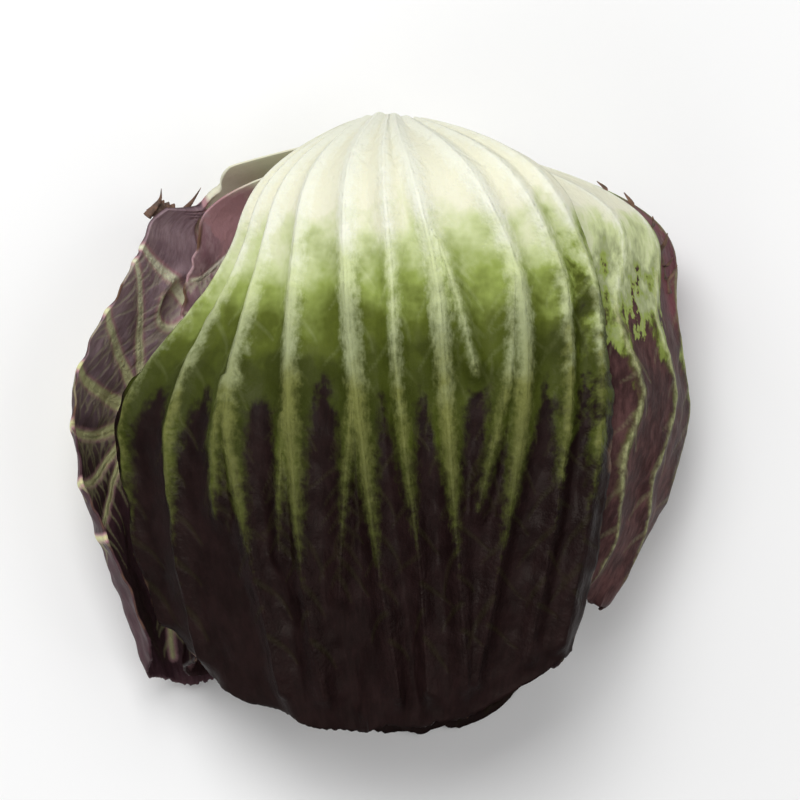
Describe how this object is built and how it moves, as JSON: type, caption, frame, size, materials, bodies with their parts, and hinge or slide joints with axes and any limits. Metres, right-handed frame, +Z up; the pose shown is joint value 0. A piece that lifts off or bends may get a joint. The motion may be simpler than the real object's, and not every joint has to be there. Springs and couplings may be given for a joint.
{
  "type": "radicchio head",
  "caption": "Head of radicchio cut from its root and lying on its side: pale-ribbed leaves nested round a short stem, the outer ones green at the base and dark purple at the tips.",
  "frame": {"origin": "bottom centre of the head's box, on the surface that it lies on", "axes": "+Z up from the surface; +Y out of the stem's cut face, so the leaf tips point along -Y; +X to the right seen from above with the stem at the top"},
  "size_m": [0.1564, 0.1574, 0.0788],
  "materials": {
    "green_leaf": "satin",
    "red_leaf": "satin",
    "cut_stem": "matte"
  },
  "bodies": {
    "root": {"stem": "cut_stem", "top_leaf": "green_leaf", "right_leaf": "green_leaf", "under_leaf": "green_leaf", "left_leaf": "red_leaf", "left_inner_leaf": "red_leaf", "lower_left_leaf": "red_leaf", "lower_right_leaf": "red_leaf", "front_leaf": "red_leaf", "heart_leaf_1": "red_leaf", "heart_leaf_2": "red_leaf", "heart_leaf_3": "red_leaf", "heart_leaf_4": "red_leaf", "heart_leaf_5": "red_leaf", "heart_leaf_6": "red_leaf", "heart_leaf_7": "red_leaf", "heart_leaf_8": "red_leaf", "heart_leaf_9": "red_leaf", "heart_leaf_10": "red_leaf"}
  },
  "joints": []
}
